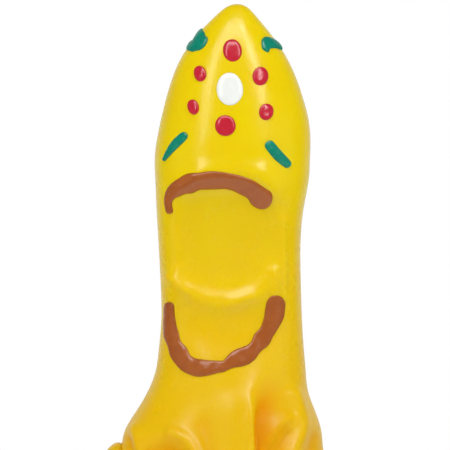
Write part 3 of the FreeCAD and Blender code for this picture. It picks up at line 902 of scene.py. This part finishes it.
def beak_relief(along, turn):
    """A ridge along the top and a nostril on each side of it."""
    ridge = BEAK_RIDGE * np.exp(-((turn - np.pi) / 0.35) ** 2)
    place, offset, size = NOSTRIL
    pits = 0
    for side in (-1, 1):
        off = (turn - np.pi - side * offset) * BEAK_GIRTH
        pits = pits - NOSTRIL_DEPTH * np.exp(-(((along - place) / (1.6 * size)) ** 2 + (off / size) ** 2))
    return ridge + pits


# The right wattle; the left one is its mirror image.
WATTLE = [
    (4.6, 20.5, 57.0, 2.6, 3.2), (5.4, 23.5, 63.0, 3.8, 4.4), (5.9, 24.6, 69.5, 4.7, 5.3),
    (5.7, 24.0, 75.5, 3.8, 4.3), (5.4, 23.2, 79.5, 2.0, 2.4),
]
WATTLE_CREASES = 0.22


def mirrored(table, side):
    """A table of rows that start with x, for one side."""
    return [(side * row[0],) + row[1:] for row in table]


def wattle_relief(along, turn):
    return WATTLE_CREASES * np.sin(along * 0.9) * np.cos(3 * turn)


def wattle(side, word):
    return limb(word + "_wattle_lobe", mirrored(WATTLE, side), relief=wattle_relief)


EYE_TURN = 36.0          # how far round from the front the eyes are
EYE_DOWN = 38.0
EYE_R = 6.0
EYE_RISE = 2.6
PUPIL_R = 2.9
PUPIL_RISE = 0.9
PUPIL_SINK = 0.6
PUPIL_OUT = 2.3          # how far the pupil's edge stands out from the head
LID_TUBE = 1.25
LID_GAP = 0.5            # how far the middle of the lid lies outside the eye
LID_OUT = 0.3


def eye(side, word, tree):
    """The white, the pupil and the raised lid round them."""
    turn = math.radians(EYE_TURN)
    out = Vector((side * math.sin(turn), math.cos(turn), 0.0))
    start = Vector((0, 0, CROWN - EYE_DOWN * MM)) + out * 0.1
    place, normal, _, _ = tree.ray_cast(start, -out)
    out = (normal + out * 2 + Vector((0, 0, 0.2))).normalized()
    white = lens(word + "_eye_white", place, out, EYE_R, EYE_RISE)
    pupil = lens(word + "_eye_pupil", place + out * PUPIL_OUT * MM, out, PUPIL_R, PUPIL_RISE, PUPIL_SINK)
    lid = torus(word + "_eyelid", place + out * LID_OUT * MM, out, EYE_R + LID_GAP, LID_TUBE, 1.1)
    return white, pupil, lid


tree = BVHTree.FromObject(skin, bpy.context.evaluated_depsgraph_get())
dress(comb(), RED, "neck", ["comb"])
upper_beak = limb("upper_beak_shell", UPPER_BEAK, 80, 48, 2.2, beak_relief)
dress(upper_beak, ORANGE, "neck", ["upper_beak"])
lower_beak = limb("lower_beak_shell", LOWER_BEAK, 60, 40, 2.2)
dress(lower_beak, ORANGE, "neck", ["lower_beak"])
for side, word in SIDES:
    dress(wattle(side, word), RED, "neck", [word + "_wattle"])
    white, pupil, lid = eye(side, word, tree)
    dress(white, PAINT_WHITE, "neck", [word + "_eye"])
    dress(pupil, PAINT_BLACK, "neck", [word + "_pupil"])
    dress(lid, YELLOW, "neck")


# ---- torso fittings: tail and squeaker ----
TAIL = [
    (0, -19, 260, 11.5, 10), (0, -30, 267.5, 10.5, 8.2), (0, -40, 273.5, 7.8, 6.0), (0, -47.5, 278, 4.6, 3.8),
]
TAIL_QUILLS = 0.45       # depth of the grooves that run to the tail's tip
LIP_R = 14.2
LIP_TUBE = 1.7
LIP_DEPTH = 0.7          # how far the lip's middle lies in front of the flange's back face
# The squeaker's pieces, with how far their edges are rounded.
SQUEAKER_LOOKS = [
    ("squeaker_barrel", PLASTIC, 0.3), ("squeaker_reed_block", PLASTIC, 0.3),
    ("squeaker_reed_clamp", PLASTIC, 0.3), ("squeaker_reed", FILM, 0.08),
]


def tail_relief(along, turn):
    return TAIL_QUILLS * np.cos(7 * turn) * smoothstep(14, 30, along)


dress(limb("tail_stub", TAIL, 70, 56, 2.2, tail_relief), YELLOW, "torso", ["tail"])
lip_centre = Vector((0, (FLANGE_BACK + LIP_DEPTH) * MM, SQUEAKER.z))
lip = torus("squeaker_lip", lip_centre, (0, 1, 0), LIP_R, LIP_TUBE, 0.9)
dress(lip, YELLOW, "torso")
for name, look, rounding in SQUEAKER_LOOKS:
    node = frame["nodes"][name]
    node.data.materials.clear()
    node.data.materials.append(look)
    edge = node.modifiers.new("edge", "BEVEL")
    edge.width = rounding * MM
    edge.segments = 3
    edge.limit_method = "ANGLE"


# ---- wings ----
WING_TOP = {"left": (33.6, -2.5, 131.6, 2.6, 5.0), "right": (31.0, 0.0, 137.5, 3.0, 5.0)}
WING = [
    (36.6, -0.5, 143.0, 5.6, 9.5), (42.2, -0.5, 153.0, 6.6, 13.0), (49.0, -2.0, 170.0, 6.4, 15.5),
    (53.2, -5.0, 190.0, 5.0, 13.5), (55.6, -9.0, 207.0, 3.2, 9.0), (56.2, -11.5, 217.0, 1.8, 4.5),
]


GROOVE_DEPTH = 0.8
ELBOW_HEIGHT = 0.9
ELBOW_ALONG = 24.0
WING_BUMPS = 0.6         # how high the wing's bumps are beside the torso's
WING_BUMPS_FROM = 160.0  # the level of the torso whose bumps the wing's root starts with
WING_GIRTH = 12.0


def wing_relief(along, turn):
    """Feather grooves towards the tip, a fold at the elbow and a few plucked bumps."""
    grooves = -GROOVE_DEPTH * smoothstep(34, 60, along) * np.exp(-(np.cos(3 * turn + 0.5) / 0.30) ** 2)
    fold = np.exp(-((along - ELBOW_ALONG) / 7) ** 2) * np.exp(-((np.sin(turn / 2)) / 0.7) ** 2)
    return grooves + ELBOW_HEIGHT * fold + WING_BUMPS * pimples(turn, along + WING_BUMPS_FROM, WING_GIRTH)


for side, word in SIDES:
    table = mirrored([WING_TOP[word]] + WING, side)
    wing = limb(word + "_wing_blade", table, 110, 72, 2.1, wing_relief)
    pivot = down(PIVOT[word + "_wing_flap"])
    dress(wing, YELLOW, ("torso", word + "_wing"), [word + "_wing"],
          (on_axis(pivot - 8), on_axis(pivot + 10)))


# ---- legs ----
CUFF = HOCK - 7.5        # where the yellow drumstick ends round the scaly shank
SHANK_END = ANKLE - 8.0
SCUTE = 4.6              # length of one scale on the shank
TOE_SPREAD = 25.0
TOE_OUT = 8.0
TOE_LENGTH = 42.0
SIDE_TOE_SHORTER = 3.0
SPUR_LENGTH = 19.0
THIGH_START = 258.0      # the top of the thigh, inside the torso
THIGH_BUMPS_FROM = 178   # the level of the torso whose bumps the thigh starts with
THIGH_GIRTH = 15.0
CUFF_HEIGHT = 0.8
CUFF_WIDTH = 1.8
CUFF_UP = 2.0            # how far the rolled edge lies above the cuff's end
PLATE_HEIGHT = 0.55
PEBBLE_HEIGHT = 0.22
PEBBLE_PITCH = 2.6
FOOT_VOXEL = 0.62
FOOT_PASSES = 5


def thigh_relief(along, turn):
    """The rolled edge of the cuff, and plucked bumps."""
    roll = CUFF_HEIGHT * np.exp(-((along - (CUFF - THIGH_START) + CUFF_UP) / CUFF_WIDTH) ** 2)
    return roll + pimples(turn, along + THIGH_BUMPS_FROM, THIGH_GIRTH)


def scales(along, turn):
    """Overlapping plates down the front of the shank and pebbles round the back."""
    step = (along / SCUTE) % 1.0
    plate = PLATE_HEIGHT * (step ** 1.6) * (1 - smoothstep(0.86, 1.0, step))
    front = smoothstep(0.9, 1.5, np.abs(np.pi - np.abs(turn - np.pi)))
    pebble = PEBBLE_HEIGHT * np.cos(turn * 9) * np.cos(along * 2 * np.pi / PEBBLE_PITCH)
    return plate * front + pebble * (1 - front)


def thigh(side, word):
    x = side * HIP_X
    table = [
        (x * 0.84, 1, THIGH_START, 13, 15), (x * 0.95, 0.5, THIGH_START + 14, 17, 18.2),
        (x, 0, HIP, 18.2, 18.8), (x, 0, HIP + 16, 16.6, 17.2), (x, 0, HIP + 34, 13.4, 13.8),
        (x, 0, HIP + 50, 10.7, 10.9), (x, 0, CUFF - 3, 8.9, 9.0), (x, 0, CUFF, 8.7, 8.8),
    ]
    return limb(word + "_thigh", table, 120, 72, 2.0, thigh_relief, caps=(12, 1.8))


def shank(side, word):
    x = side * HIP_X
    table = [
        (x, 0, CUFF - 9, 5.6, 5.8), (x, 0, CUFF, 6.9, 7.1), (x, 0.2, HOCK, 7.5, 7.8),
        (x, 0, HOCK + 9, 6.6, 6.9), (x, 0, HOCK + 24, 5.9, 6.1), (x, 0, HOCK + 44, 5.7, 5.9),
        (x, 0, SHANK_END - 8, 6.1, 6.3), (x, 0, SHANK_END, 6.7, 6.9),
    ]
    return limb(word + "_lower_leg", table, 200, 72, 2.1, scales, caps=(3, 1.3))


# A toe's radius at each share of its length, thick at the knuckles.
TOE = [(0.0, 5.6), (0.25, 5.3), (0.42, 4.5), (0.55, 4.9), (0.72, 4.0), (0.86, 4.4), (1.0, 3.7)]
TOE_PRESSED = 1.2        # how much of a toe's underside is pressed flat on the ground
TOE_PLATE = 4.2
TOE_PLATE_HEIGHT = 0.5
# A claw's reach past the end of its toe, its middle's height above the ground, and its radius.
CLAW_SHAPE = [(-3.0, 3.6, 2.7), (1.5, 3.3, 2.5), (5.5, 2.5, 1.7), (8.4, 1.0, 0.7)]


def toe_plates(along, turn):
    """Small plates along the top of a toe."""
    upper = smoothstep(1.7, 2.4, np.pi - np.abs(turn - np.pi))
    return TOE_PLATE_HEIGHT * ((along / TOE_PLATE) % 1.0) ** 1.5 * upper


def toe(name, x, turn, length):
    """One toe from the middle of the foot, with knuckles and plates along its top."""
    a = math.radians(turn)
    rows = []
    for share, radius in TOE:
        reach = share * length
        below = SOLE - radius + TOE_PRESSED
        rows.append((x + math.sin(a) * reach, math.cos(a) * reach, below, radius, radius * 0.92))
    return limb(name, rows, 90, 44, 2.0, toe_plates, side=(math.cos(a), -math.sin(a), 0))


def claw(name, x, turn, length):
    a = math.radians(turn)
    rows = []
    for past, height, radius in CLAW_SHAPE:
        reach = length + past
        rows.append((x + math.sin(a) * reach, math.cos(a) * reach, SOLE - height, radius, radius))
    return limb(name, rows, 40, 28, side=(math.cos(a), -math.sin(a), 0))


def flatten_sole(piece):
    """Nothing reaches below the ground."""
    ground = CROWN - SOLE * MM
    for vertex in piece.data.vertices:
        vertex.co.z = max(vertex.co.z, ground)


def foot(side, word):
    x = side * HIP_X
    turns = [side * TOE_OUT + spread for spread in (-TOE_SPREAD, 0, TOE_SPREAD, 180)]
    lengths = [TOE_LENGTH - SIDE_TOE_SHORTER, TOE_LENGTH, TOE_LENGTH - SIDE_TOE_SHORTER, SPUR_LENGTH]
    ankle = [
        (x, 0, SHANK_END - 6, 5.0, 5.2), (x, 0, SHANK_END + 1, 6.2, 6.4), (x, 0, ANKLE, 6.7, 7.1),
        (x, 1.5, ANKLE + 7, 8.0, 8.6), (x, 3.0, SOLE - 5, 9.0, 9.6),
    ]
    shells = [limb(word + "_ankle", ankle, 80, 56, 2.1, scales, caps=(2, 5))]
    for i, (turn, length) in enumerate(zip(turns, lengths)):
        shells.append(toe(f"{word}_toe_{i}", x, turn, length))
    made = join(word + "_foot_skin", shells)
    melt(made, FOOT_VOXEL, FOOT_PASSES)
    flatten_sole(made)
    claws = []
    for i, (turn, length) in enumerate(zip(turns, lengths)):
        claws.append(claw(f"{word}_claw_{i}", x, turn, length))
    claw_set = join(word + "_claw_set", claws)
    flatten_sole(claw_set)
    return made, claw_set


for side, word in SIDES:
    drumstick, lower = word + "_drumstick", word + "_shank"
    dress(thigh(side, word), YELLOW, ("torso", drumstick), [drumstick],
          (on_axis(HIP - 14), on_axis(HIP + 12)))
    dress(shank(side, word), ORANGE, (drumstick, lower), [lower],
          (on_axis(HOCK - 6), on_axis(HOCK + 8)))
    skin_of_foot, claws = foot(side, word)
    dress(skin_of_foot, ORANGE, (lower, word + "_foot"), [word + "_foot"],
          (on_axis(ANKLE - 7), on_axis(ANKLE + 6)))
    dress(claws, CLAW, word + "_foot", [word + "_claws"])


# ---- studio ----
FLOOR_R = 0.6
FLOOR_SIDES = 96
FLOOR_GAP = 0.0005       # how far the floor lies below the feet


def floor():
    """A round white sheet under the feet."""
    low = cad_low.z - FLOOR_GAP
    rim = []
    for i in range(FLOOR_SIDES):
        turn = 2 * math.pi * i / FLOOR_SIDES
        rim.append((FLOOR_R * math.cos(turn), FLOOR_R * math.sin(turn), low))
    mesh = bpy.data.meshes.new("floor")
    mesh.from_pydata(rim, [], [list(range(FLOOR_SIDES))])
    look, _, _ = material("floor", (0.9, 0.9, 0.9), 0.8)
    mesh.materials.append(look)
    link(bpy.data.objects.new("floor", mesh))


def softbox(name, azimuth, elevation, distance, width, height, power):
    """A rectangular soft light that faces the frame's origin, at an azimuth round from behind the neck."""
    data = bpy.data.lights.new(name, "AREA")
    data.shape = "RECTANGLE"
    data.size = width
    data.size_y = height
    data.energy = power
    lamp = bpy.data.objects.new(name, data)
    a, e = math.radians(azimuth), math.radians(elevation)
    away = Vector((math.sin(a) * math.cos(e), -math.cos(a) * math.cos(e), math.sin(e)))
    lamp.location = away * distance
    lamp.rotation_mode = "QUATERNION"
    lamp.rotation_quaternion = away.to_track_quat("Z", "Y")
    return link(lamp)


BACKDROP = 0.70          # light from the white backdrop behind the object
ROOM = 0.05              # light from the dark room on the other side
# The lights that show in the gloss: azimuth, elevation, distance, width, height and power.
STRIPS = [
    ("left_strip", -42, 50, 1.1, 0.17, 0.80, 2.9),
    ("right_strip", 42, 52, 1.1, 0.17, 0.80, 3.8),
    ("top_panel", -4, 68, 1.1, 0.50, 0.34, 2.6),
]
# The large fills that don't show in the gloss: azimuth and power.
FILLS = [("left_fill", -68, 11.6), ("back_fill", 0, 4.25), ("right_fill", 68, 11.6), ("face_fill", 180, 14.0)]
FILL_ELEVATION = -6
FILL_DISTANCE = 1.3
FILL_WIDTH = 1.2
FILL_HEIGHT = 1.4


def studio():
    """A white backdrop, a dark room on the camera's side, soft strips above and large fills.

    What the camera sees past the floor is plain white, whichever way it looks.
    """
    world = bpy.data.worlds.new("studio")
    world.use_nodes = True
    tree = world.node_tree
    way = add(tree, "ShaderNodeSeparateXYZ")
    tree.links.new(add(tree, "ShaderNodeTexCoord").outputs["Generated"], way.inputs["Vector"])
    light = spread(tree, way.outputs["Y"], 0.50, 1.00, ROOM, BACKDROP)
    seen = add(tree, "ShaderNodeLightPath").outputs["Is Camera Ray"]
    strength = add(tree, "ShaderNodeMath", operation="MAXIMUM")
    tree.links.new(light, strength.inputs[0])
    tree.links.new(seen, strength.inputs[1])
    tree.links.new(strength.outputs["Value"], tree.nodes["Background"].inputs["Strength"])
    tree.nodes["Background"].inputs["Color"].default_value = (1, 1, 1, 1)
    bpy.context.scene.world = world
    bpy.context.scene.view_settings.view_transform = "Standard"
    for strip in STRIPS:
        softbox(*strip)
    for name, azimuth, power in FILLS:
        lamp = softbox(name, azimuth, FILL_ELEVATION, FILL_DISTANCE, FILL_WIDTH, FILL_HEIGHT, power)
        lamp.visible_glossy = False
        lamp.visible_camera = False


PICTURE_WIDTH = 0.135    # how much of the neck's plane the picture takes in
CAMERA_DISTANCE = 1.1
CAMERA_X = -0.0021
CAMERA_BELOW = 0.0663    # how far the camera is below the crown


def camera():
    """A long lens straight behind the neck."""
    data = bpy.data.cameras.new("camera")
    data.sensor_width = 36
    data.lens = data.sensor_width * CAMERA_DISTANCE / PICTURE_WIDTH
    data.clip_end = 20
    made = bpy.data.objects.new("camera", data)
    made.location = (CAMERA_X, -CAMERA_DISTANCE, CROWN - CAMERA_BELOW)
    made.rotation_euler = (math.pi / 2, 0, 0)
    bpy.context.scene.camera = link(made)


floor()
studio()
camera()
